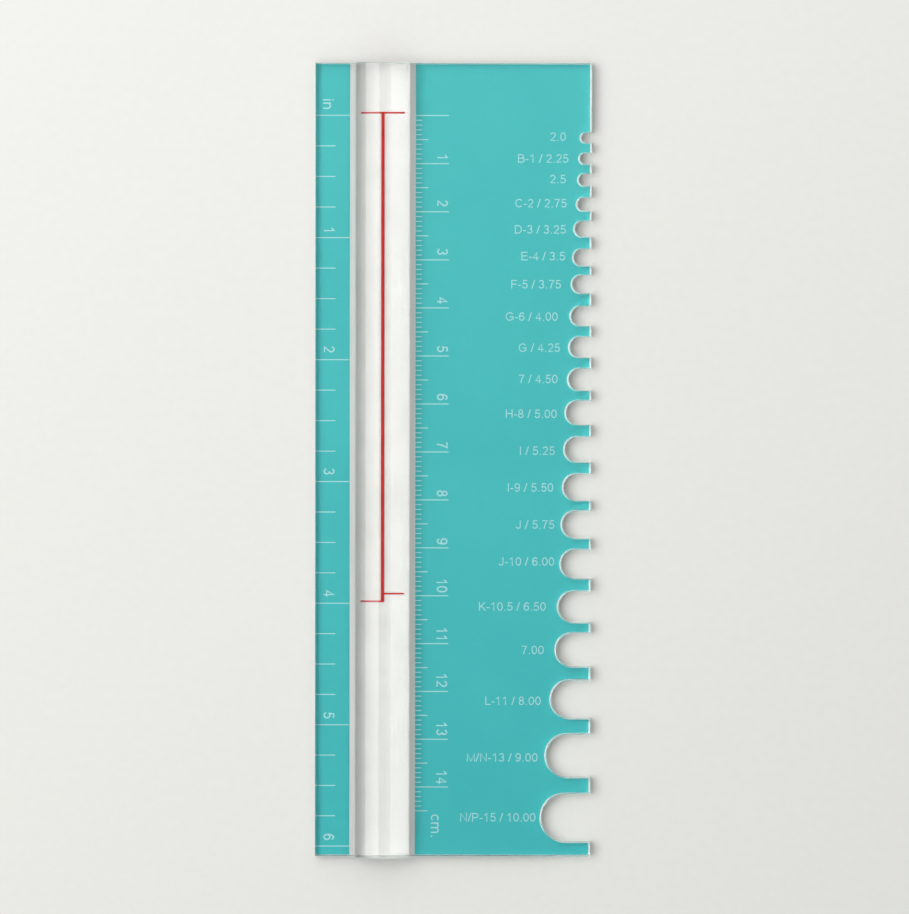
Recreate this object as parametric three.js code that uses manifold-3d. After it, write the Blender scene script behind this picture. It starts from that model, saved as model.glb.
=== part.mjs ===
// Crochet gauge: a clear acrylic ruler printed on its underside, with a row of U-shaped notches that
// size crochet hooks, and a magnifying bar bonded over a clear window that holds a 10 cm / 4 in line.
// Millimetres, +Z up. The gauge lies flat on its underside. X runs across it and Y along it, with the
// zero of both scales near the +Y end. The origin is the middle of the underside.

import * as THREE from "three";
import { mergeVertices } from "three/addons/utils/BufferGeometryUtils.js";
import Module from "manifold-3d";

const wasm = await Module();
wasm.setup();

// The sheet
const SHEET_LENGTH = 165.1; // 6.5 in
const SHEET_WIDTH = 57.4;
const SHEET_THICKNESS = 3;

// The notches from the lower end of the right edge upwards. size is the diameter of the hook's shank,
// and land is the tooth left below the notch.
const NOTCHES = [
  { size: 10, land: 2.9 },
  { size: 9, land: 3.4 },
  { size: 8, land: 3.2 },
  { size: 7, land: 2.7 },
  { size: 6.5, land: 2.15 },
  { size: 6, land: 2.6 },
  { size: 5.75, land: 2.25 },
  { size: 5.5, land: 2.05 },
  { size: 5.25, land: 2.4 },
  { size: 5, land: 2.45 },
  { size: 4.5, land: 2.05 },
  { size: 4.25, land: 2.25 },
  { size: 4, land: 2.25 },
  { size: 3.75, land: 2.65 },
  { size: 3.5, land: 1.85 },
  { size: 3.25, land: 2.45 },
  { size: 2.75, land: 2 },
  { size: 2.5, land: 2.35 },
  { size: 2.25, land: 1.95 },
  { size: 2, land: 2.1 },
];
const NOTCH_CLEARANCE = 0.1; // what a notch is wider than its hook
const NOTCH_LEAD = 0.2; // what a notch is deeper than its hook
const LEAST_TOP_LAND = 3; // sheet that stays above the uppermost notch
const ARC_STEPS = 8; // for a quarter turn

// The print, let into the underside by its own thickness
const PRINT_THICKNESS = 0.1;
const PRINT_MARGIN = 0.15; // bare rim inside the cut edges; the left edge has none
const PRINT_SHIFT = 0.2; // how far the print sits to the left of the cut outline
const PRINT_FIT = 0.02; // gap between a print's edge and the wall of its recess
const INCH_FIELD_WIDTH = 7.15;
const WINDOW_WIDTH = 13.7; // the clear strip between the two teal fields

// The graduations, open lines that start at the left edge of each field
const ZERO_DROP = 10.8; // from the top edge of the sheet down to both zeros
const LINE_WIDTH = 0.2;
const INCH = 25.4;
const INCH_PARTS = 4;
const INCH_PART_LINE = 4.2;
const INCH_LINE_BRIDGE = 0.15; // teal that joins the field past the end of an inch line
const METRIC_SCALE_LENGTH = 145;
const MILLIMETRE_LINE = 1.27;
const HALF_CENTIMETRE_LINE = 2.6;
const CENTIMETRE_LINE = 6.9;

// The red gauge line under the bar
const GAUGE_RISE = 0.5; // its start above the zero of the scales
const GAUGE_METRIC_LENGTH = 100;
const GAUGE_INCH_LENGTH = 4 * INCH;
const GAUGE_LINE_WIDTH = 0.5;
const GAUGE_TICK_WIDTH = 0.35;
const GAUGE_TICK_REACH = 3.5; // from the middle of the line to the end of a tick

// The magnifying bar and the layer that bonds it
const BAR_WIDTH = 11.2;
const BAR_HEIGHT = 4.1;
const BAR_SIDE_HEIGHT = 2.3; // up to where the dome starts
const BAR_ARC_STEPS = 24; // for half the arc
const BOND_THICKNESS = 0.1;
const BOND_INSET = 0.3; // how far the bond stays inside the bar's outline

const CLEAR = { color: 0xe8f3f1, roughness: 0.06, metalness: 0, transparent: true, opacity: 0.35 };
const TEAL = { color: 0x47bdbe, roughness: 0.5, metalness: 0 };
const RED = { color: 0xad322d, roughness: 0.5, metalness: 0 };

const LEFT = -SHEET_WIDTH / 2;
const RIGHT = SHEET_WIDTH / 2;
const BOTTOM = -SHEET_LENGTH / 2;
const TOP = SHEET_LENGTH / 2;
const ZERO_Y = TOP - ZERO_DROP;
const WINDOW_LEFT = LEFT + INCH_FIELD_WIDTH;
const WINDOW_RIGHT = WINDOW_LEFT + WINDOW_WIDTH;
const WINDOW_MIDDLE = (WINDOW_LEFT + WINDOW_RIGHT) / 2;

// The notches with their places, stacked from the lower end as far as the sheet reaches.
function placedNotches() {
  let y = BOTTOM;
  return NOTCHES.map(({ size, land }) => {
    const width = size + NOTCH_CLEARANCE;
    const depth = size + NOTCH_LEAD;
    y += land + width;
    return { width, depth, y: y - width / 2 };
  }).filter((notch) => notch.y + notch.width / 2 < TOP - LEAST_TOP_LAND);
}

const notches = placedNotches();

// Adds the right edge of an outline to a path, upwards, with a round-ended bay at every notch. The
// edge stays inset inside the cut edge, and sits shift to the left of it.
function addNotchedEdge(path, inset, shift) {
  const mouth = RIGHT - inset - shift;
  for (const notch of notches) {
    const radius = notch.width / 2 + inset;
    const centre = RIGHT - notch.depth + notch.width / 2 - shift;
    path.lineTo(mouth, notch.y - radius);
    path.lineTo(centre, notch.y - radius);
    path.absarc(centre, notch.y, radius, -Math.PI / 2, Math.PI / 2, true);
    path.lineTo(mouth, notch.y + radius);
  }
}

// The outline of the sheet.
function sheetOutline() {
  const outline = new THREE.Shape();
  outline.moveTo(LEFT, BOTTOM);
  outline.lineTo(RIGHT, BOTTOM);
  addNotchedEdge(outline, 0, 0);
  outline.lineTo(RIGHT, TOP);
  outline.lineTo(LEFT, TOP);
  return outline;
}

// Adds the left edge of a teal field to a path, downwards, with the graduations open in it.
function addGraduatedEdge(path, left, graduations) {
  for (const { y, length } of graduations) {
    path.lineTo(left, y + LINE_WIDTH / 2);
    path.lineTo(left + length, y + LINE_WIDTH / 2);
    path.lineTo(left + length, y - LINE_WIDTH / 2);
    path.lineTo(left, y - LINE_WIDTH / 2);
  }
}

// The narrow field. grow widens it on the sides that meet the sheet, for its recess.
function inchFieldOutline(grow, graduations) {
  const outline = new THREE.Shape();
  const left = LEFT - grow;
  const right = WINDOW_LEFT + grow;
  const bottom = BOTTOM + PRINT_MARGIN - grow;
  const top = TOP - PRINT_MARGIN + grow;
  outline.moveTo(left, bottom);
  outline.lineTo(right, bottom);
  outline.lineTo(right, top);
  outline.lineTo(left, top);
  addGraduatedEdge(outline, left, graduations);
  return outline;
}

// The wide field, whose right edge follows the notches.
function metricFieldOutline(grow, graduations) {
  const outline = new THREE.Shape();
  const inset = PRINT_MARGIN - grow;
  const left = WINDOW_RIGHT - grow;
  const right = RIGHT - inset - PRINT_SHIFT;
  outline.moveTo(left, BOTTOM + inset);
  outline.lineTo(right, BOTTOM + inset);
  addNotchedEdge(outline, inset, PRINT_SHIFT);
  outline.lineTo(right, TOP - inset);
  outline.lineTo(left, TOP - inset);
  addGraduatedEdge(outline, left, graduations);
  return outline;
}

// Graduations from zero downwards, as far as the field reaches. lengthOf gives a line's length by its
// number.
function scale(pitch, most, lengthOf) {
  const room = ZERO_Y - BOTTOM - PRINT_MARGIN - LINE_WIDTH;
  const count = Math.floor(Math.min(most, room) / pitch);
  return Array.from({ length: count + 1 }, (_, i) => ({ y: ZERO_Y - i * pitch, length: lengthOf(i) }));
}

function inchScale() {
  const wholeLine = INCH_FIELD_WIDTH - INCH_LINE_BRIDGE;
  return scale(INCH / INCH_PARTS, Infinity, (i) => (i % INCH_PARTS ? INCH_PART_LINE : wholeLine));
}

function metricScale() {
  const lengthOf = (i) => {
    if (i % 10 === 0) return CENTIMETRE_LINE;
    return i % 5 === 0 ? HALF_CENTIMETRE_LINE : MILLIMETRE_LINE;
  };
  return scale(1, METRIC_SCALE_LENGTH, lengthOf);
}

// The corners down one side of the red line, with a tick at each of the heights. side is 1 on the right
// and -1 on the left. A tick at the end closes the line there.
function gaugeSide(side, heights, end, grow) {
  const half = side * (GAUGE_LINE_WIDTH / 2 + grow);
  const reach = side * (GAUGE_TICK_REACH + grow);
  const tick = GAUGE_TICK_WIDTH / 2 + grow;
  const corners = heights.flatMap((y) => [
    [half, y + tick],
    [reach, y + tick],
    [reach, y - tick],
    [half, y - tick],
  ]);
  corners.shift();
  if (heights.at(-1) === end) corners.pop();
  else corners.push([half, end - tick]);
  return corners;
}

// The red line, with a tick across its start, one to the right at 10 cm and one to the left at 4 in.
function gaugeLineOutline(grow) {
  const start = ZERO_Y + GAUGE_RISE;
  const metric = start - GAUGE_METRIC_LENGTH;
  const inches = start - GAUGE_INCH_LENGTH;
  const end = Math.min(metric, inches);
  const right = gaugeSide(1, [start, metric], end, grow);
  const left = gaugeSide(-1, [start, inches], end, grow);
  const corners = [...right, ...left.reverse()];
  return new THREE.Shape(corners.map(([x, y]) => new THREE.Vector2(WINDOW_MIDDLE + x, y)));
}

// The section of the bar, flat below and straight at the sides, under a dome that is part of a circle.
function barSection() {
  const rise = BAR_HEIGHT - BAR_SIDE_HEIGHT;
  const radius = (BAR_WIDTH ** 2 / 4 + rise ** 2) / (2 * rise);
  const edge = Math.acos(BAR_WIDTH / 2 / radius);
  const section = new THREE.Shape();
  section.moveTo(-BAR_WIDTH / 2, 0);
  section.lineTo(BAR_WIDTH / 2, 0);
  section.absarc(0, BAR_HEIGHT - radius, radius, edge, Math.PI - edge, false);
  return section;
}

function extrude(outline, depth, curveSegments = ARC_STEPS) {
  return new THREE.ExtrudeGeometry(outline, { depth, curveSegments, bevelEnabled: false });
}

// A closed geometry as a solid for cutting.
function solidOf(geometry) {
  const bare = new THREE.BufferGeometry();
  bare.setAttribute("position", geometry.getAttribute("position").clone());
  const merged = mergeVertices(bare, 1e-4);
  return new wasm.Manifold(
    new wasm.Mesh({
      numProp: 3,
      vertProperties: merged.getAttribute("position").array,
      triVerts: new Uint32Array(merged.getIndex().array),
    }),
  );
}

function geometryOf(solid) {
  const { vertProperties, triVerts } = solid.getMesh();
  const geometry = new THREE.BufferGeometry();
  geometry.setAttribute("position", new THREE.BufferAttribute(new Float32Array(vertProperties), 3));
  geometry.setIndex(new THREE.BufferAttribute(new Uint32Array(triVerts), 1));
  geometry.computeVertexNormals();
  return geometry;
}

function namedMesh(name, geometry, finish) {
  const mesh = new THREE.Mesh(geometry, new THREE.MeshStandardMaterial(finish));
  mesh.name = name;
  return mesh;
}

// The sheet, with a recess in its underside for each print.
function clearSheet() {
  const recesses = [
    inchFieldOutline(PRINT_FIT, []),
    metricFieldOutline(PRINT_FIT, []),
    gaugeLineOutline(PRINT_FIT),
  ];
  let sheet = solidOf(extrude(sheetOutline(), SHEET_THICKNESS));
  for (const outline of recesses) {
    const recess = extrude(outline, 2 * PRINT_THICKNESS).translate(0, 0, -PRINT_THICKNESS);
    sheet = sheet.subtract(solidOf(recess));
  }
  return namedMesh("clear_sheet", geometryOf(sheet), CLEAR);
}

// The prints, face up against the ceilings of their recesses.
function prints() {
  const group = new THREE.Group();
  const layers = [
    ["inch_scale_print", inchFieldOutline(0, inchScale()), TEAL],
    ["hook_size_print", metricFieldOutline(0, metricScale()), TEAL],
    ["gauge_line_print", gaugeLineOutline(0), RED],
  ];
  for (const [name, outline, finish] of layers) {
    group.add(namedMesh(name, extrude(outline, PRINT_THICKNESS), finish));
  }
  return group;
}

// The bar on its bond, over the middle of the clear window.
function magnifier() {
  const group = new THREE.Group();
  group.position.set(WINDOW_MIDDLE, 0, SHEET_THICKNESS);
  const bondSize = [BAR_WIDTH - 2 * BOND_INSET, SHEET_LENGTH - 2 * BOND_INSET, BOND_THICKNESS];
  const bond = namedMesh("bar_bond", new THREE.BoxGeometry(...bondSize), CLEAR);
  bond.position.z = BOND_THICKNESS / 2;
  const bar = namedMesh("magnifier_bar", extrude(barSection(), SHEET_LENGTH, BAR_ARC_STEPS), CLEAR);
  bar.rotation.x = Math.PI / 2;
  bar.position.set(0, SHEET_LENGTH / 2, BOND_THICKNESS);
  group.add(bond, bar);
  return group;
}

const gauge = new THREE.Group();
gauge.add(clearSheet(), prints(), magnifier());

export default gauge;
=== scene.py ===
"""Looks of the crochet gauge: clear acrylic, screen-printed teal fields, pale scales and lettering."""

import math

import bmesh
import bpy
from mathutils import Matrix, Vector


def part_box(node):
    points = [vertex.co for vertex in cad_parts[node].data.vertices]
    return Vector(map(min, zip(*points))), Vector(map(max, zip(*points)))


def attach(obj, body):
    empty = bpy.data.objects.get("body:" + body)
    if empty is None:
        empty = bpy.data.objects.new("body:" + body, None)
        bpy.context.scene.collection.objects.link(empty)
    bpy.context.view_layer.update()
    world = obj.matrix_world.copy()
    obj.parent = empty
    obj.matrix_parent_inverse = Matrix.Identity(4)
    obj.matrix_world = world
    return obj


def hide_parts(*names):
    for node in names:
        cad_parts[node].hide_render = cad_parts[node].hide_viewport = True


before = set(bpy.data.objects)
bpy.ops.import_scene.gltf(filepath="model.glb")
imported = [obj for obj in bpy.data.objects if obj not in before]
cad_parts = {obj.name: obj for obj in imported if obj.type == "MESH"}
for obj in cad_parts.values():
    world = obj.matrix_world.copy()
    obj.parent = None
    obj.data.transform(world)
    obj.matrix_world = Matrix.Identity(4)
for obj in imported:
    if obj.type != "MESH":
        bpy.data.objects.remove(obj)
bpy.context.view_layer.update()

MM = 0.001
TOUCH = 0.01 * MM  # two places nearer than this are the same
MERGE = 0.001 * MM  # loose corners nearer than this become one
LEVEL = 0.999  # how upright the normal of a level face is, at least

# The camera over the gauge
CAMERA_PLACE = (-1.5 * MM, 32.45 * MM, 1000 * MM)
CAMERA_TURN = (-1.82, -0.1, 0.1)  # degrees about X, Y and Z from straight down
CAMERA_LENS = 188.9
CAMERA_SENSOR = 36
CAMERA_CLIP = (0.05, 20)

# The light
LAMP_DISTANCE = 1.8
LAMP_TILT = (26, 5)  # degrees from straight up to the left, and towards the zero end
LAMP_HALF_ANGLES = (17.4, 20)  # degrees that it reaches to each side across and along the gauge
LAMP_ENERGY = 12.7
CEILING_COLOUR = (1.0, 0.995, 0.98, 1)
CEILING_STRENGTH = 1.3
CEILING_LEAN = (-0.45, 0.4, 0)  # how much brighter it is on the left and towards the zero end
CEILING_START = 0.45  # height on the unit sphere at which it starts
HORIZON_SHARE = 0.25  # of the ceiling's light, below that height
OVERHEAD_SHARE = 0.15  # of the ceiling's light, where the camera hangs
OVERHEAD_HEIGHTS = (0.96, 0.985)  # heights on the unit sphere between which it darkens
ACRYLIC_BOUNCES = 24  # of light in the acrylic
CEMENT_BOUNCES = 48  # of light through cemented faces
DIFFUSE_BOUNCES = 4

# The floor
FLOOR_HALF = 3.0  # from its middle to its sides
FLOOR_DROP = 0.02 * MM  # how far it lies below the print
FLOOR_PAINTED_LIGHT_SLOPE = (-0.6, 0.8, 0)  # the way its painted light falloff gets lighter, towards the lamp
FLOOR_REACH = 130 * MM  # how far from the middle it still changes

# The clear pieces
EDGE_ROUND = 0.12 * MM  # radius of the buffed edges
EDGE_STEPS = 4
UNDERSIDE = 0.12 * MM  # the sheet's clear underside, just above the print and its marks
NOTCH_STEPS = 48
BAR_STEPS = 96
BAR_SIDE_HEIGHT = 2.3 * MM  # up to where the dome starts
BAR_END_ROUND = 0.15 * MM
SHARP_ANGLE = 40  # degrees from which a corner stays sharp
LEAST_LEVEL = 0.99  # a face whose normal is less upright belongs to the cut edges
CEMENTED, CUT = 1, 2  # places in a piece's list of materials, after its polished acrylic

# The pale marks, which fill the open lines of the print and stand a little above and below it
MARK_BELOW = 0.004 * MM
MARK_ABOVE = 0.012 * MM
GAUGE_LINE_TOP = 0.14 * MM  # the red line reaches just into the sheet, with no air between them

# The scales, as in the print
ZERO_DROP = 10.8 * MM
LINE_WIDTH = 0.2 * MM
INCH = 25.4 * MM
CENTIMETRE = 10 * MM
INCH_LINES = (4.2 * MM, 4.2 * MM, 7.15 * MM)  # short, middle and long
METRIC_LINES = (1.27 * MM, 2.6 * MM, 6.9 * MM)
METRIC_COUNT = 145
INCH_COUNT = 24
# Pitch, and how many lines it is from one middle or long line to the next
INCH_STEPS = (INCH / 4, 2, 4)
METRIC_STEPS = (MM, 5, 10)

# Lettering
LETTER_SIZE = 2.25 * MM  # height of the scales' digits
LABEL_SIZE = 1.78 * MM  # height of the hook sizes
SCALE_TURN = -90  # degrees, so that the scales read downwards
# Height, share of the alphabet's full width, and width of the pen
DIGIT_STYLE = (LETTER_SIZE, 0.88, 0.29 * MM)
UNIT_STYLE = (LETTER_SIZE, 1, 0.26 * MM)
LABEL_STYLE = (LABEL_SIZE, 1, 0.195 * MM)
LEAST_TURN = 12  # degrees between the points of a round stroke
LONGEST_MITRE = 1.5  # in half widths of the pen
LEAST_COSINE = 0.00001  # stands in where a corner turns right back, so nothing is divided by zero
INCH_DIGIT_FOOT = 1.75 * MM  # from the field's left edge to the foot of its digits
INCH_DIGIT_GAPS = (0.8, 1.37, 1.32, 1.29, 1.21, 1.15)  # mm from each number's end to its line
METRIC_DIGIT_FOOT = 4.47 * MM
METRIC_DIGIT_GAPS = (0.61, 1, 0.9, 0.8, 0.7, 0.68, 0.66, 0.61, 0.58, 0.6, 0.45, 0.8, 0.68, 0.55)
INCH_UNIT_PLACE = (1.55 * MM, 3.55 * MM)  # from the field's left edge and above zero
METRIC_UNIT_PLACE = (3.35 * MM, -145.65 * MM)

# Hook sizes from the uppermost notch down: words, gap to the notch and drop below its middle
HOOK_SIZES = [
    ("2.0", 3.05, -0.25),
    ("B-1 / 2.25", 2.25, -0.05),
    ("2.5", 2.55, -0.2),
    ("C-2 / 2.75", 2.1, -0.25),
    ("D-3 / 3.25", 1.75, 0.1),
    ("E-4 / 3.5", 1.65, -0.27),
    ("F-5 / 3.75", 2.25, 0.0),
    ("G-6 / 4.00", 2.65, 0.1),
    ("G / 4.25", 1.9, 0.1),
    ("7 / 4.50", 2.15, -0.1),
    ("H-8 / 5.00", 1.8, 0.25),
    ("I / 5.25", 1.95, 0.27),
    ("I-9 / 5.50", 2.0, 0.07),
    ("J / 5.75", 1.5, 0.02),
    ("J-10 / 6.00", 1.25, -0.49),
    ("K-10.5 / 6.50", 2.5, -0.03),
    ("7.00", 2.4, 0.05),
    ("L-11 / 8.00", 2.0, 0.38),
    ("M/N-13 / 9.00", 1.65, 0.43),
    ("N/P-15 / 10.00", 1.05, -0.03),
]

# Finishes: a lower and an upper tone or roughness, and the lumps of noise in a metre
NOISE_RANGE = (0.3, 0.7)  # nearly all noise lies between these
SLOPE_RANGE = (0.3, 0.66)  # what a slope runs between, with room for noise on top
ACRYLIC_IOR = 1.49
ACRYLIC_TINTS = ((0.985, 0.99, 0.99, 1), (0.99, 0.995, 0.995, 1))
ACRYLIC_ROUGHNESS = (0.0, 0.02)
ACRYLIC_WAVES = 0.001 * MM  # height of a cast sheet's waves, which are long along the gauge
ACRYLIC_STRETCH = (1, 0.15, 1)
TINT_LUMPS, GLOSS_LUMPS, WAVE_LUMPS = 60, 400, 90
EDGE_CLEARNESS = 0.8  # share of light that the cut edges let through, where the rest scatters
# pale edge tone, with a teal tint painted in for the teal light that the print scatters into the edges
EDGE_TINTS_AND_PAINTED_TEAL = ((0.86, 0.98, 0.965, 1), (0.92, 1.0, 0.985, 1))
EDGE_ROUGHNESS = (0.15, 0.22)
EDGE_LUMPS = 120
CEMENT_LUMPS = 200
CEMENT_TINTS = ((0.965, 0.965, 0.965, 1), (0.98, 0.98, 0.98, 1))
INK_ROUGHNESS = (0.45, 0.6)
INK_GLOSS = 0.2
INK_UNEVENNESS = 0.05  # what noise adds to the slope of its tones, or takes from it
MARK_LUMPS, TEAL_LUMPS, RED_LUMPS = 300, 40, 900
SHEEN_FINENESS = 8  # how many times finer the noise in its sheen is
CARD_LUMPS, CARD_FIBRES = 600, 900
CARD_ROUGHNESS = 0.9
CARD_GLOSS = 0.1
CARD_GRAIN = 0.04  # what noise adds to the slope of its tones
CARD_RELIEF = 0.02 * MM

SHEET_LOW, SHEET_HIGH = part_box("clear_sheet")
BAR_LOW, BAR_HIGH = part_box("magnifier_bar")
INCH_LOW, INCH_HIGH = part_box("inch_scale_print")
METRIC_LOW, METRIC_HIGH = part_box("hook_size_print")
ZERO_Y = SHEET_HIGH.y - ZERO_DROP


def colour(red, green, blue):
    """A screen colour of 0 to 255 a channel as the linear colour that renders to it."""
    def linear(value):
        """One channel of the screen colour as its share of light."""
        share = value / 255
        return share / 12.92 if share <= 0.04045 else ((share + 0.055) / 1.055) ** 2.4

    return (linear(red), linear(green), linear(blue), 1.0)


# Tones: the floor's darkest and lightest, and each ink's at the far end of the scales and at the zero end
# The change within each pair is painted light falloff, lighter where more light falls; noise adds the real
# unevenness.
FLOOR_TONES = (colour(222, 223, 219), colour(242, 242, 239))
TEAL_TONES = (colour(56, 184, 187), colour(76, 200, 200))
MARK_TONES = (colour(170, 218, 222), colour(184, 228, 231))
RED_TONES = (colour(228, 46, 42), colour(236, 54, 48))

# Materials


def blank_material(name):
    """A new material and its Principled shader."""
    material = bpy.data.materials.new(name)
    material.use_nodes = True
    shader = material.node_tree.nodes["Principled BSDF"]
    return material, shader


def noise(material, lumps, stretch=(1, 1, 1), detail=3.0):
    """Noise over the piece's own place, with about that many lumps in a metre."""
    nodes, links = material.node_tree.nodes, material.node_tree.links
    place = nodes.new("ShaderNodeTexCoord")
    mapping = nodes.new("ShaderNodeMapping")
    mapping.inputs["Scale"].default_value = stretch
    texture = nodes.new("ShaderNodeTexNoise")
    texture.inputs["Scale"].default_value = lumps
    texture.inputs["Detail"].default_value = detail
    links.new(place.outputs["Object"], mapping.inputs["Vector"])
    links.new(mapping.outputs["Vector"], texture.inputs["Vector"])
    return texture.outputs["Fac"]


def spread(tree, value, start, end, low, high):
    """A value that runs from low to high while the given one runs from start to end."""
    node = tree.nodes.new("ShaderNodeMapRange")
    node.inputs["From Min"].default_value = start
    node.inputs["From Max"].default_value = end
    node.inputs["To Min"].default_value = low
    node.inputs["To Max"].default_value = high
    tree.links.new(value, node.inputs["Value"])
    return node.outputs["Result"]


def calculate(tree, operation, first, second):
    """The result of one sum on two values."""
    node = tree.nodes.new("ShaderNodeMath")
    node.operation = operation
    tree.links.new(first, node.inputs[0])
    tree.links.new(second, node.inputs[1])
    return node.outputs["Value"]


def between(material, value, low, high):
    """A noise value spread from low to high."""
    return spread(material.node_tree, value, *NOISE_RANGE, low, high)


def blend_colours(material, value, first, second):
    """A colour that turns from first to second while a value runs over NOISE_RANGE."""
    ramp = material.node_tree.nodes.new("ShaderNodeValToRGB")
    for stop, position, tone in zip(ramp.color_ramp.elements, NOISE_RANGE, (first, second)):
        stop.position = position
        stop.color = tone
    material.node_tree.links.new(value, ramp.inputs["Fac"])
    return ramp.outputs["Color"]


def slope(material, direction, reach):
    """A value that rises over the piece in one direction, from -reach to reach."""
    tree = material.node_tree
    place = tree.nodes.new("ShaderNodeTexCoord")
    along = tree.nodes.new("ShaderNodeVectorMath")
    along.operation = "DOT_PRODUCT"
    along.inputs[1].default_value = direction
    tree.links.new(place.outputs["Object"], along.inputs[0])
    return spread(tree, along.outputs["Value"], -reach, reach, *SLOPE_RANGE)


def add_bump(material, shader, value, height):
    """Relief of that height in metres from a noise value."""
    bump = material.node_tree.nodes.new("ShaderNodeBump")
    bump.inputs["Strength"].default_value = 1.0
    bump.inputs["Distance"].default_value = height
    material.node_tree.links.new(value, bump.inputs["Height"])
    material.node_tree.links.new(bump.outputs["Normal"], shader.inputs["Normal"])


def clear_acrylic():
    """Polished acrylic, faintly tinted, with the slight waviness of a cast sheet."""
    material, shader = blank_material("clear_acrylic")
    links = material.node_tree.links
    tint = blend_colours(material, noise(material, TINT_LUMPS), *ACRYLIC_TINTS)
    links.new(tint, shader.inputs["Base Color"])
    links.new(between(material, noise(material, GLOSS_LUMPS), *ACRYLIC_ROUGHNESS), shader.inputs["Roughness"])
    shader.inputs["Transmission Weight"].default_value = 1.0
    shader.inputs["IOR"].default_value = ACRYLIC_IOR
    add_bump(material, shader, noise(material, WAVE_LUMPS, stretch=ACRYLIC_STRETCH), ACRYLIC_WAVES)
    return material


def cut_edge():
    """The cut and buffed edges, which scatter light, in a pale tone with painted teal light from the print
    mixed in.
    """
    material, shader = blank_material("cut_edge")
    links = material.node_tree.links
    # painted teal light: the edges' teal tint stands in for light scattered from the teal print
    tint = blend_colours(material, noise(material, EDGE_LUMPS), *EDGE_TINTS_AND_PAINTED_TEAL)
    links.new(tint, shader.inputs["Base Color"])
    links.new(between(material, noise(material, EDGE_LUMPS), *EDGE_ROUGHNESS), shader.inputs["Roughness"])
    shader.inputs["Transmission Weight"].default_value = EDGE_CLEARNESS
    shader.inputs["IOR"].default_value = ACRYLIC_IOR
    return material


def cemented_face():
    """A face in optical contact through clear cement, which bends no light."""
    material, shader = blank_material("cemented_face")
    nodes, links = material.node_tree.nodes, material.node_tree.links
    nodes.remove(shader)
    clear = nodes.new("ShaderNodeBsdfTransparent")
    tint = blend_colours(material, noise(material, CEMENT_LUMPS), *CEMENT_TINTS)
    links.new(tint, clear.inputs["Color"])
    links.new(clear.outputs["BSDF"], nodes["Material Output"].inputs["Surface"])
    return material


def ink(name, tones, lumps):
    """Screen-printed ink, slightly uneven, with painted light falloff that makes it paler towards the zero
    end.
    """
    material, shader = blank_material(name)
    links = material.node_tree.links
    # painted light falloff: the ink's tone rises towards the zero end, where more light falls
    painted_light_fall = slope(material, (0, 1, 0), SHEET_HIGH.y)
    uneven = between(material, noise(material, lumps), -INK_UNEVENNESS, INK_UNEVENNESS)
    tone = blend_colours(material, calculate(material.node_tree, "ADD", painted_light_fall, uneven), *tones)
    links.new(tone, shader.inputs["Base Color"])
    sheen = between(material, noise(material, SHEEN_FINENESS * lumps), *INK_ROUGHNESS)
    links.new(sheen, shader.inputs["Roughness"])
    shader.inputs["Specular IOR Level"].default_value = INK_GLOSS
    return material


def floor_material():
    """Matt pale card, with painted light falloff that makes it lightest towards the lamp."""
    material, shader = blank_material("pale_card")
    # painted light falloff: the card's tone rises towards the lamp; the grain is its own
    painted_light_fall = slope(material, FLOOR_PAINTED_LIGHT_SLOPE, FLOOR_REACH)
    grain = between(material, noise(material, CARD_LUMPS, detail=6), 0.0, CARD_GRAIN)
    tone = blend_colours(material, calculate(material.node_tree, "ADD", painted_light_fall, grain), *FLOOR_TONES)
    material.node_tree.links.new(tone, shader.inputs["Base Color"])
    shader.inputs["Roughness"].default_value = CARD_ROUGHNESS
    shader.inputs["Specular IOR Level"].default_value = CARD_GLOSS
    add_bump(material, shader, noise(material, CARD_FIBRES, detail=4), CARD_RELIEF)
    return material


# Meshes


def new_piece(name, mesh, *materials):
    """An object at the origin for a finished mesh, whose faces keep their material indices."""
    mesh.name = name
    chosen = [face.material_index for face in mesh.polygons]
    mesh.materials.clear()
    for material in materials:
        mesh.materials.append(material)
    mesh.polygons.foreach_set("material_index", chosen)
    piece = bpy.data.objects.new(name, mesh)
    bpy.context.scene.collection.objects.link(piece)
    return piece


def bridged_rings(rings):
    """A closed bmesh through rings of equally many points, with a cap on the first and the last."""
    shape = bmesh.new()
    loops = [[shape.verts.new(point) for point in ring] for ring in rings]
    count = len(loops[0])
    for lower, upper in zip(loops, loops[1:]):
        for i in range(count):
            j = (i + 1) % count
            shape.faces.new((lower[i], lower[j], upper[j], upper[i]))
    shape.faces.new(loops[0][::-1])
    shape.faces.new(loops[-1])
    bmesh.ops.recalc_face_normals(shape, faces=shape.faces)
    return shape


def smooth_between_corners(piece):
    """Smooth shading that keeps corners sharp and large faces flat."""
    piece.data.shade_smooth()
    piece.data.set_sharp_from_angle(angle=math.radians(SHARP_ANGLE))
    weighted = piece.modifiers.new("weighted", "WEIGHTED_NORMAL")
    weighted.keep_sharp = True
    bpy.context.view_layer.update()
    finished = bpy.data.meshes.new_from_object(piece.evaluated_get(bpy.context.evaluated_depsgraph_get()))
    piece.modifiers.clear()
    piece.data = finished


def rounded_steps(radius):
    """The inset and the rise of each ring of a quarter-round edge, from the cap outwards."""
    for step in range(EDGE_STEPS + 1):
        turn = math.pi / 2 * step / EDGE_STEPS
        yield radius * (1 - math.sin(turn)), radius * (1 - math.cos(turn))


# The clear sheet


def read_notches():
    """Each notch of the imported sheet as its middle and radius, from the lower end upwards."""
    corners = [v.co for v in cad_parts["clear_sheet"].data.vertices if SHEET_HIGH.z - v.co.z < TOUCH]
    mouths = sorted({round(co.y, 6) for co in corners if SHEET_HIGH.x - co.x < TOUCH})
    notches = []
    for lower, upper in zip(mouths[1:-1:2], mouths[2:-1:2]):
        end = min(co.x for co in corners if lower - TOUCH < co.y < upper + TOUCH)
        radius = (upper - lower) / 2
        notches.append((end + radius, (lower + upper) / 2, radius))
    return notches


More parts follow.
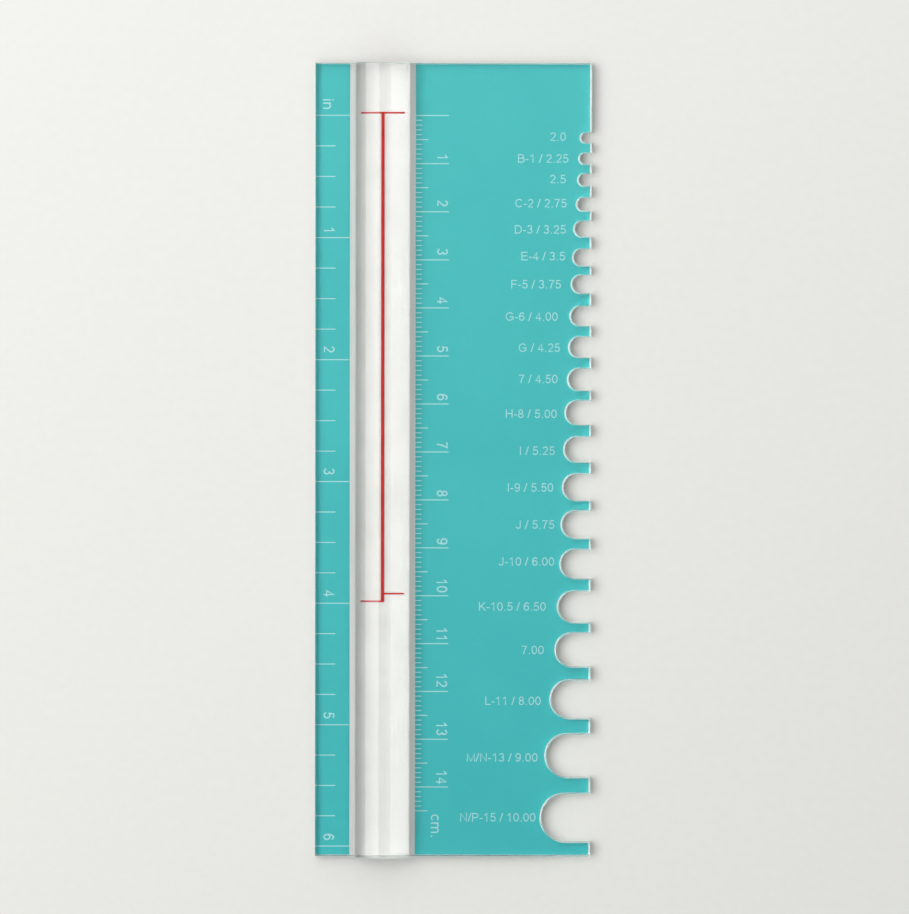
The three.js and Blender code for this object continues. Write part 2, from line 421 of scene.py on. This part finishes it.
def sheet_ring(notches, inset, z):
    """The outline of the sheet at one height, that far inside its cut edges."""
    left, right = SHEET_LOW.x + inset, SHEET_HIGH.x - inset
    bottom, top = SHEET_LOW.y + inset, SHEET_HIGH.y - inset
    ring = [(left, bottom, z), (right, bottom, z)]
    for middle_x, middle_y, radius in notches:
        reach = radius + inset
        ring.append((right, middle_y - reach, z))
        for step in range(NOTCH_STEPS + 1):
            turn = -math.pi / 2 - math.pi * step / NOTCH_STEPS
            ring.append((middle_x + reach * math.cos(turn), middle_y + reach * math.sin(turn), z))
        ring.append((right, middle_y + reach, z))
    return ring + [(right, top, z), (left, top, z)]


def make_sheet(notches, acrylic, cemented, cut):
    """The sheet, with cut edges, and a cemented strip on its top face where the bar stands."""
    rings = [sheet_ring(notches, inset, UNDERSIDE + rise) for inset, rise in rounded_steps(EDGE_ROUND)]
    upper = [sheet_ring(notches, inset, SHEET_HIGH.z - rise) for inset, rise in rounded_steps(EDGE_ROUND)]
    shape = bridged_rings(rings + upper[::-1])
    for side in (BAR_LOW.x, BAR_HIGH.x):
        everything = shape.verts[:] + shape.edges[:] + shape.faces[:]
        bmesh.ops.bisect_plane(shape, geom=everything, plane_co=(side, 0, 0), plane_no=(1, 0, 0))
    for face in shape.faces:
        middle = face.calc_center_median()
        if face.normal.z > LEVEL and BAR_LOW.x < middle.x < BAR_HIGH.x:
            face.material_index = CEMENTED
        elif abs(face.normal.z) < LEAST_LEVEL:
            face.material_index = CUT
    mesh = bpy.data.meshes.new("sheet")
    shape.to_mesh(mesh)
    shape.free()
    piece = new_piece("acrylic_sheet", mesh, acrylic, cemented, cut)
    smooth_between_corners(piece)
    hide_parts("clear_sheet")
    return piece


# The magnifying bar


def bar_ring(inset, y):
    """The section of the bar at one place along it, that far inside its faces."""
    half, height = (BAR_HIGH.x - BAR_LOW.x) / 2, BAR_HIGH.z - BAR_LOW.z
    rise = height - BAR_SIDE_HEIGHT
    radius = (half ** 2 + rise ** 2) / (2 * rise)
    middle_x, middle_z = (BAR_LOW.x + BAR_HIGH.x) / 2, BAR_HIGH.z - radius
    reach = radius - inset
    edge = math.acos((half - inset) / reach)
    bottom = BAR_LOW.z + inset
    ring = [(middle_x + half - inset, y, bottom)]
    for step in range(BAR_STEPS + 1):
        turn = edge + (math.pi - 2 * edge) * step / BAR_STEPS
        ring.append((middle_x + reach * math.cos(turn), y, middle_z + reach * math.sin(turn)))
    return ring + [(middle_x - half + inset, y, bottom)]


def make_bar(acrylic, cemented):
    """The plano-convex bar, with its flat face cemented down."""
    steps = list(rounded_steps(BAR_END_ROUND))
    rings = [bar_ring(inset, BAR_LOW.y + rise) for inset, rise in steps]
    rings += [bar_ring(inset, BAR_HIGH.y - rise) for inset, rise in steps[::-1]]
    shape = bridged_rings(rings)
    for face in shape.faces:
        if face.normal.z < -LEVEL:
            face.material_index = CEMENTED
    mesh = bpy.data.meshes.new("bar")
    shape.to_mesh(mesh)
    shape.free()
    piece = new_piece("acrylic_bar", mesh, acrylic, cemented)
    smooth_between_corners(piece)
    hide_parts("magnifier_bar")
    return piece


# Graduations


def graduation_tree():
    """A tree that lays out the lines of a scale, each from its left end, below a zero line."""
    tree = bpy.data.node_groups.new("graduations", "GeometryNodeTree")
    add = tree.nodes.new
    link = tree.links.new
    tree.interface.new_socket("Lines", in_out="OUTPUT", socket_type="NodeSocketGeometry")
    for name, kind in (
        ("Zero Line", "Vector"),
        ("Count", "Int"),
        ("Pitch", "Float"),
        ("Middle Every", "Int"),
        ("Long Every", "Int"),
        ("Short Line", "Float"),
        ("Middle Line", "Float"),
        ("Long Line", "Float"),
        ("Line Width", "Float"),
        ("Thickness", "Float"),
        ("Ink", "Material"),
    ):
        tree.interface.new_socket(name, in_out="INPUT", socket_type="NodeSocket" + kind)
    given = add("NodeGroupInput").outputs
    index = add("GeometryNodeInputIndex").outputs["Index"]

    def every(name):
        """Whether a line is the first, or a whole number of steps of that input after it."""
        rest = add("ShaderNodeMath")
        rest.operation = "MODULO"
        link(index, rest.inputs[0])
        link(given[name], rest.inputs[1])
        whole = add("FunctionNodeCompare")
        whole.data_type = "FLOAT"
        whole.operation = "LESS_THAN"
        link(rest.outputs[0], whole.inputs["A"])
        whole.inputs["B"].default_value = 0.5
        return whole.outputs["Result"]

    def choose(condition, otherwise, chosen):
        """One of two lengths for each line."""
        switch = add("GeometryNodeSwitch")
        switch.input_type = "FLOAT"
        link(condition, switch.inputs["Switch"])
        link(otherwise, switch.inputs["False"])
        link(chosen, switch.inputs["True"])
        return switch.outputs["Output"]

    downwards = add("ShaderNodeMath")
    downwards.operation = "MULTIPLY"
    downwards.inputs[1].default_value = -1.0
    link(given["Pitch"], downwards.inputs[0])
    offset = add("ShaderNodeCombineXYZ")
    link(downwards.outputs[0], offset.inputs["Y"])
    line = add("GeometryNodeMeshLine")
    line.mode = "OFFSET"
    link(given["Count"], line.inputs["Count"])
    link(given["Zero Line"], line.inputs["Start Location"])
    link(offset.outputs["Vector"], line.inputs["Offset"])

    length = choose(every("Middle Every"), given["Short Line"], given["Middle Line"])
    length = choose(every("Long Every"), length, given["Long Line"])
    size = add("ShaderNodeCombineXYZ")
    link(length, size.inputs["X"])
    link(given["Line Width"], size.inputs["Y"])
    link(given["Thickness"], size.inputs["Z"])

    unit = add("GeometryNodeMeshCube")
    unit.inputs["Size"].default_value = (1, 1, 1)
    from_end = add("GeometryNodeTransform")
    from_end.inputs["Translation"].default_value = (0.5, 0, 0.5)
    link(unit.outputs["Mesh"], from_end.inputs["Geometry"])

    copies = add("GeometryNodeInstanceOnPoints")
    link(line.outputs["Mesh"], copies.inputs["Points"])
    link(from_end.outputs["Geometry"], copies.inputs["Instance"])
    link(size.outputs["Vector"], copies.inputs["Scale"])
    real = add("GeometryNodeRealizeInstances")
    link(copies.outputs["Instances"], real.inputs["Geometry"])
    inked = add("GeometryNodeSetMaterial")
    link(real.outputs["Geometry"], inked.inputs["Geometry"])
    link(given["Ink"], inked.inputs["Material"])
    link(inked.outputs["Geometry"], add("NodeGroupOutput").inputs["Lines"])
    return tree


def plain_from_tree(name, mesh, tree, wanted):
    """The plain mesh that a tree makes from a mesh and its named inputs, as a finished piece."""
    carrier = bpy.data.objects.new(name, mesh)
    bpy.context.scene.collection.objects.link(carrier)
    modifier = carrier.modifiers.new(tree.name, "NODES")
    modifier.node_group = tree
    for socket in tree.interface.items_tree:
        if socket.in_out == "INPUT" and socket.name in wanted:
            modifier[socket.identifier] = wanted[socket.name]
    bpy.context.view_layer.update()
    made = bpy.data.meshes.new_from_object(carrier.evaluated_get(bpy.context.evaluated_depsgraph_get()))
    bpy.data.objects.remove(carrier)
    bpy.data.meshes.remove(mesh)
    return new_piece(name, made, wanted["Ink"])


def make_scale(name, tree, left, count, steps, lines, mark):
    """One scale of pale lines in the open graduations of its field."""
    pitch, middle_every, long_every = steps
    wanted = {
        "Zero Line": (left, ZERO_Y, INCH_LOW.z - MARK_BELOW),
        "Count": count + 1,
        "Pitch": pitch,
        "Middle Every": middle_every,
        "Long Every": long_every,
        "Short Line": lines[0],
        "Middle Line": lines[1],
        "Long Line": lines[2],
        "Line Width": LINE_WIDTH,
        "Thickness": INCH_HIGH.z - INCH_LOW.z + MARK_BELOW + MARK_ABOVE,
        "Ink": mark,
    }
    return plain_from_tree(name, bpy.data.meshes.new(name), tree, wanted)


# Lettering


def arc(x, y, across, up, start, end):
    """Points on an oval about x, y from one angle to another, in degrees."""
    count = math.ceil(abs(end - start) / LEAST_TURN)
    turns = [math.radians(start + (end - start) * i / count) for i in range(count + 1)]
    return [(x + across * math.cos(turn), y + up * math.sin(turn)) for turn in turns]


def turned(strokes, width):
    """A glyph turned upside down."""
    return [[(width - x, 1 - y) for x, y in stroke] for stroke in strokes]


def glyphs():
    """Each character's advance and pen strokes, in heights of a capital."""
    digit, capital, short = 0.776, 0.932, 0.388
    high, low, stem = 0.94, 0.06, 0.166
    six = [arc(0.395, 0.325, 0.26, 0.265, 0, 360), arc(0.42, 0.47, 0.29, 0.47, 185, 40)]
    return {
        " ": (short, []),
        ".": (short, [[(0.195, 0), (0.195, 0.13)]]),
        "/": (short, [[(0.03, 0), (0.36, 1)]]),
        "-": (0.465, [[(0.05, 0.36), (0.41, 0.36)]]),
        "0": (digit, [arc(0.388, 0.5, 0.27, 0.44, 0, 360)]),
        "1": (digit, [[(0.45, 0), (0.45, 0.96), (0.34, 0.83), (0.16, 0.73)]]),
        "2": (digit, [arc(0.385, 0.69, 0.25, 0.25, 168, -35) + [(0.12, low), (0.67, low)]]),
        "3": (digit, [arc(0.37, 0.725, 0.225, 0.215, 165, -90), arc(0.37, 0.285, 0.26, 0.225, 90, -165)]),
        "4": (digit, [[(0.52, 0), (0.52, high), (0.1, 0.29), (0.73, 0.29)]]),
        "5": (digit, [[(0.65, high), (0.24, high)] + arc(0.38, 0.33, 0.275, 0.27, 140, -160)]),
        "6": (digit, six),
        "7": (digit, [[(0.09, high), (0.66, high), (0.49, 0.68), (0.36, 0.35), (0.3, 0)]]),
        "8": (digit, [arc(0.388, 0.73, 0.215, 0.21, 0, 360), arc(0.388, 0.285, 0.26, 0.225, 0, 360)]),
        "9": (digit, turned(six, digit)),
        "B": (
            capital,
            [
                [(0.4, high), (stem, high), (stem, low), (0.4, low)],
                [(stem, 0.53)] + arc(0.5, 0.735, 0.24, 0.205, -90, 90) + [(0.4, high)],
                [(0.5, 0.53)] + arc(0.53, 0.295, 0.28, 0.235, 90, -90) + [(0.4, low)],
            ],
        ),
        "C": (1.008, [arc(0.52, 0.5, 0.4, 0.44, 38, 322)]),
        "D": (
            1.008,
            [[(0.45, high), (stem, high), (stem, low), (0.45, low)], arc(0.44, 0.5, 0.43, 0.44, -90, 90)],
        ),
        "E": (
            capital,
            [[(0.86, low), (stem, low), (stem, high), (0.84, high)], [(stem, 0.52), (0.79, 0.52)]],
        ),
        "F": (0.853, [[(stem, 0), (stem, high), (0.8, high)], [(stem, 0.5), (0.7, 0.5)]]),
        "G": (1.087, [arc(0.54, 0.5, 0.42, 0.44, 38, 325) + [(0.93, 0.2), (0.93, 0.46), (0.56, 0.46)]]),
        "H": (1.008, [[(stem, 0), (stem, 1)], [(0.84, 0), (0.84, 1)], [(stem, 0.53), (0.84, 0.53)]]),
        "I": (short, [[(0.194, 0), (0.194, 1)]]),
        "J": (0.698, [[(0.52, 1)] + arc(0.29, 0.28, 0.23, 0.22, 0, -175)]),
        "K": (capital, [[(stem, 0), (stem, 1)], [(0.82, 1), (stem, 0.35)], [(0.4, 0.57), (0.86, 0)]]),
        "L": (digit, [[(stem, 1), (stem, low), (0.74, low)]]),
        "M": (1.163, [[(stem, 0), (stem, high), (0.58, 0.04), (1, high), (1, 0)]]),
        "N": (1.008, [[(stem, 0), (stem, high), (0.84, low), (0.84, 1)]]),
        "P": (capital, [[(stem, 0), (stem, high)] + arc(0.54, 0.7, 0.25, 0.24, 90, -90) + [(stem, 0.46)]]),
        "c": (0.698, [arc(0.37, 0.3625, 0.27, 0.305, 42, 318)]),
        "i": (0.31, [[(0.155, 0), (0.155, 0.725)], [(0.155, 0.87), (0.155, 1)]]),
        "m": (
            1.163,
            [
                [(0.15, 0), (0.15, 0.725)],
                arc(0.365, 0.46, 0.215, 0.21, 180, 0) + [(0.58, 0)],
                arc(0.795, 0.46, 0.215, 0.21, 180, 0) + [(1.01, 0)],
            ],
        ),
        "n": (digit, [[(0.15, 0), (0.15, 0.725)], arc(0.385, 0.44, 0.235, 0.23, 180, 0) + [(0.62, 0)]]),
    }


def line_of_strokes(alphabet, words, size, share):
    """The pen strokes of a line of words that starts at the origin, and the line's length."""
    strokes, start = [], 0
    for character in words:
        advance, drawn = alphabet[character]
        strokes += [[Vector(((start + x) * share, y)) * size for x, y in stroke] for stroke in drawn]
        start += advance
    return strokes, start * share * size


def mitres(points, closed):
    """At each point of a stroke, the sideways step of its left edge for a pen two units wide."""
    steps = []
    for i, point in enumerate(points):
        before = points[i - 1] if closed or i else None
        after = points[(i + 1) % len(points)] if closed or i < len(points) - 1 else None
        sides = [(b - a).normalized().orthogonal() for a, b in ((before, point), (point, after)) if a and b]
        middle = (sides[0] + sides[-1]).normalized()
        steps.append(middle * min(1 / max(middle.dot(sides[0]), LEAST_COSINE), LONGEST_MITRE))
    return steps


def add_stroke(shape, points, pen, low, high):
    """A stroke as a closed prism from low to high."""
    closed = (points[0] - points[-1]).length < TOUCH
    points = points[:-1] if closed else points
    rings = []
    for point, step in zip(points, mitres(points, closed)):
        left, right = point + step * pen / 2, point - step * pen / 2
        corners = ((left, low), (right, low), (right, high), (left, high))
        rings.append([shape.verts.new((*corner, z)) for corner, z in corners])
    pairs = list(zip(rings, rings[1:] + rings[:1]))
    for ring, following in pairs if closed else pairs[:-1]:
        for i in range(4):
            j = (i + 1) % 4
            shape.faces.new((ring[i], ring[j], following[j], following[i]))
    if not closed:
        shape.faces.new(rings[0][::-1])
        shape.faces.new(rings[-1])


def stroke_tree():
    """A tree that joins crossing strokes into one body a letter."""
    tree = bpy.data.node_groups.new("joined_strokes", "GeometryNodeTree")
    tree.interface.new_socket("Letters", in_out="OUTPUT", socket_type="NodeSocketGeometry")
    tree.interface.new_socket("Strokes", in_out="INPUT", socket_type="NodeSocketGeometry")
    tree.interface.new_socket("Ink", in_out="INPUT", socket_type="NodeSocketMaterial")
    add, link = tree.nodes.new, tree.links.new
    given = add("NodeGroupInput").outputs
    joined = add("GeometryNodeMeshBoolean")
    joined.operation = "UNION"
    joined.solver = "EXACT"
    joined.inputs["Self Intersection"].default_value = True
    link(given["Strokes"], joined.inputs["Mesh 2"])
    inked = add("GeometryNodeSetMaterial")
    link(joined.outputs["Mesh"], inked.inputs["Geometry"])
    link(given["Ink"], inked.inputs["Material"])
    link(inked.outputs["Geometry"], add("NodeGroupOutput").inputs["Letters"])
    return tree


def make_lettering(name, tree, words_at, style, turn, mark):
    """The words of one group as one piece. words_at holds words, the shift along their line and place."""
    alphabet = glyphs()
    size, share, pen = style
    shape = bmesh.new()
    low, high = INCH_LOW.z - MARK_BELOW, INCH_HIGH.z + MARK_ABOVE
    rotation = Matrix.Rotation(math.radians(turn), 2)
    for words, align, place in words_at:
        strokes, length = line_of_strokes(alphabet, words, size, share)
        for stroke in strokes:
            points = [Vector(place) + rotation @ (point - Vector((align * length, 0))) for point in stroke]
            add_stroke(shape, points, pen, low, high)
    bmesh.ops.recalc_face_normals(shape, faces=shape.faces)
    mesh = bpy.data.meshes.new(name)
    shape.to_mesh(mesh)
    shape.free()
    return plain_from_tree(name, mesh, tree, {"Ink": mark})


def scale_words(foot, step, gaps):
    """The numbers of a scale, each with its end just above its line."""
    return [(str(i), 1, (foot, ZERO_Y - i * step + gap * MM)) for i, gap in enumerate(gaps, 1)]


def inch_words():
    """The whole inches."""
    return scale_words(INCH_LOW.x + INCH_DIGIT_FOOT, INCH, INCH_DIGIT_GAPS)


def metric_words():
    """The whole centimetres."""
    return scale_words(METRIC_LOW.x + METRIC_DIGIT_FOOT, CENTIMETRE, METRIC_DIGIT_GAPS)


def unit_words():
    """The unit of each scale: above zero for inches, past the last line for centimetres."""
    inch = (INCH_LOW.x + INCH_UNIT_PLACE[0], ZERO_Y + INCH_UNIT_PLACE[1])
    centimetre = (METRIC_LOW.x + METRIC_UNIT_PLACE[0], ZERO_Y + METRIC_UNIT_PLACE[1])
    return [("in", 0, inch), ("cm.", 0, centimetre)]


def label_words(notches):
    """Each notch's hook size, which ends to the left of it."""
    words_at = []
    for (words, gap, drop), (middle_x, middle_y, radius) in zip(HOOK_SIZES, reversed(notches)):
        end = middle_x - radius - gap * MM
        words_at.append((words, 1, (end, middle_y - drop * MM - LABEL_SIZE / 2)))
    return words_at


def make_marks(notches, mark):
    """The pale lines, numbers and words of both fields."""
    lines, letters = graduation_tree(), stroke_tree()
    return [
        make_scale("inch_lines", lines, INCH_LOW.x, INCH_COUNT, INCH_STEPS, INCH_LINES, mark),
        make_scale("metric_lines", lines, METRIC_LOW.x, METRIC_COUNT, METRIC_STEPS, METRIC_LINES, mark),
        make_lettering("inch_numbers", letters, inch_words(), DIGIT_STYLE, SCALE_TURN, mark),
        make_lettering("metric_numbers", letters, metric_words(), DIGIT_STYLE, SCALE_TURN, mark),
        make_lettering("unit_words", letters, unit_words(), UNIT_STYLE, SCALE_TURN, mark),
        make_lettering("hook_sizes", letters, label_words(notches), LABEL_STYLE, 0, mark),
    ]


def make_gauge_line(ink_in_contact):
    """The red line, as in the print but tall enough to reach into the sheet."""
    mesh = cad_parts["gauge_line_print"].data.copy()
    shape = bmesh.new()
    shape.from_mesh(mesh)
    bmesh.ops.remove_doubles(shape, verts=shape.verts, dist=MERGE)
    for corner in shape.verts:
        if corner.co.z > TOUCH:
            corner.co.z = GAUGE_LINE_TOP
    shape.to_mesh(mesh)
    shape.free()
    piece = new_piece("red_gauge_line", mesh, ink_in_contact)
    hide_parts("gauge_line_print")
    return piece


# Studio


def make_floor():
    """A sheet of pale card just under the gauge."""
    mesh = bpy.data.meshes.new("floor")
    sides = ((-1, -1), (1, -1), (1, 1), (-1, 1))
    corners = [(x * FLOOR_HALF, y * FLOOR_HALF, -FLOOR_DROP) for x, y in sides]
    mesh.from_pydata(corners, [], [(0, 1, 2, 3)])
    floor = new_piece("floor", mesh, floor_material())


def make_lights():
    """A softbox up to the left, and soft light from the ceiling, darker low down and overhead."""
    lamp = bpy.data.lights.new("softbox", "AREA")
    lamp.shape = "RECTANGLE"
    lamp.size, lamp.size_y = (2 * LAMP_DISTANCE * math.tan(math.radians(half)) for half in LAMP_HALF_ANGLES)
    lamp.energy = LAMP_ENERGY
    softbox = bpy.data.objects.new("softbox", lamp)
    bpy.context.scene.collection.objects.link(softbox)
    tilt_left, tilt_up = (math.radians(tilt) for tilt in LAMP_TILT)
    aim = Vector((-math.tan(tilt_left), math.tan(tilt_up), 1)).normalized()
    across = Vector((0, 1, 0)).cross(aim).normalized()
    softbox.matrix_world = Matrix((across, aim.cross(across), aim)).transposed().to_4x4()
    softbox.location = aim * LAMP_DISTANCE

    world = bpy.data.worlds.new("studio")
    world.use_nodes = True
    tree = world.node_tree
    nodes, links = tree.nodes, tree.links
    place = nodes.new("ShaderNodeTexCoord")
    parts = nodes.new("ShaderNodeSeparateXYZ")
    links.new(place.outputs["Generated"], parts.inputs["Vector"])
    height = parts.outputs["Z"]
    strength = spread(tree, height, CEILING_START, 1, CEILING_STRENGTH * HORIZON_SHARE, CEILING_STRENGTH)
    leaning = nodes.new("ShaderNodeVectorMath")
    leaning.operation = "DOT_PRODUCT"
    leaning.inputs[1].default_value = CEILING_LEAN
    links.new(place.outputs["Generated"], leaning.inputs[0])
    lean = spread(tree, leaning.outputs["Value"], -1, 1, 0, 2)
    overhead = spread(tree, height, *OVERHEAD_HEIGHTS, 1, OVERHEAD_SHARE)
    strength = calculate(tree, "MULTIPLY", calculate(tree, "MULTIPLY", strength, lean), overhead)
    nodes["Background"].inputs["Color"].default_value = CEILING_COLOUR
    links.new(strength, nodes["Background"].inputs["Strength"])
    bpy.context.scene.world = world


def make_camera():
    """The camera, which looks almost straight down."""
    lens = bpy.data.cameras.new("camera")
    lens.lens = CAMERA_LENS
    lens.sensor_width = CAMERA_SENSOR
    lens.clip_start, lens.clip_end = CAMERA_CLIP
    camera = bpy.data.objects.new("camera", lens)
    camera.location = CAMERA_PLACE
    camera.rotation_euler = [math.radians(turn) for turn in CAMERA_TURN]
    bpy.context.scene.collection.objects.link(camera)
    bpy.context.scene.camera = camera


def main():
    """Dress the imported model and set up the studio."""
    make_camera()
    acrylic, cemented, cut = clear_acrylic(), cemented_face(), cut_edge()
    mark = ink("pale_ink", MARK_TONES, MARK_LUMPS)
    teal = ink("teal_ink", TEAL_TONES, TEAL_LUMPS)
    red = ink("red_ink", RED_TONES, RED_LUMPS)

    notches = read_notches()
    pieces = [make_sheet(notches, acrylic, cemented, cut), make_bar(acrylic, cemented)]
    pieces += make_marks(notches, mark)
    pieces.append(make_gauge_line(red))
    for piece in pieces:
        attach(piece, "root")
    for node, finish in (("bar_bond", cemented), ("inch_scale_print", teal), ("hook_size_print", teal)):
        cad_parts[node].data.materials.clear()
        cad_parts[node].data.materials.append(finish)

    make_floor()
    make_lights()
    scene = bpy.context.scene
    scene.view_settings.view_transform = "Standard"
    scene.cycles.max_bounces = ACRYLIC_BOUNCES
    scene.cycles.transmission_bounces = ACRYLIC_BOUNCES
    scene.cycles.transparent_max_bounces = CEMENT_BOUNCES
    scene.cycles.diffuse_bounces = DIFFUSE_BOUNCES
    scene.cycles.blur_glossy = 0


main()
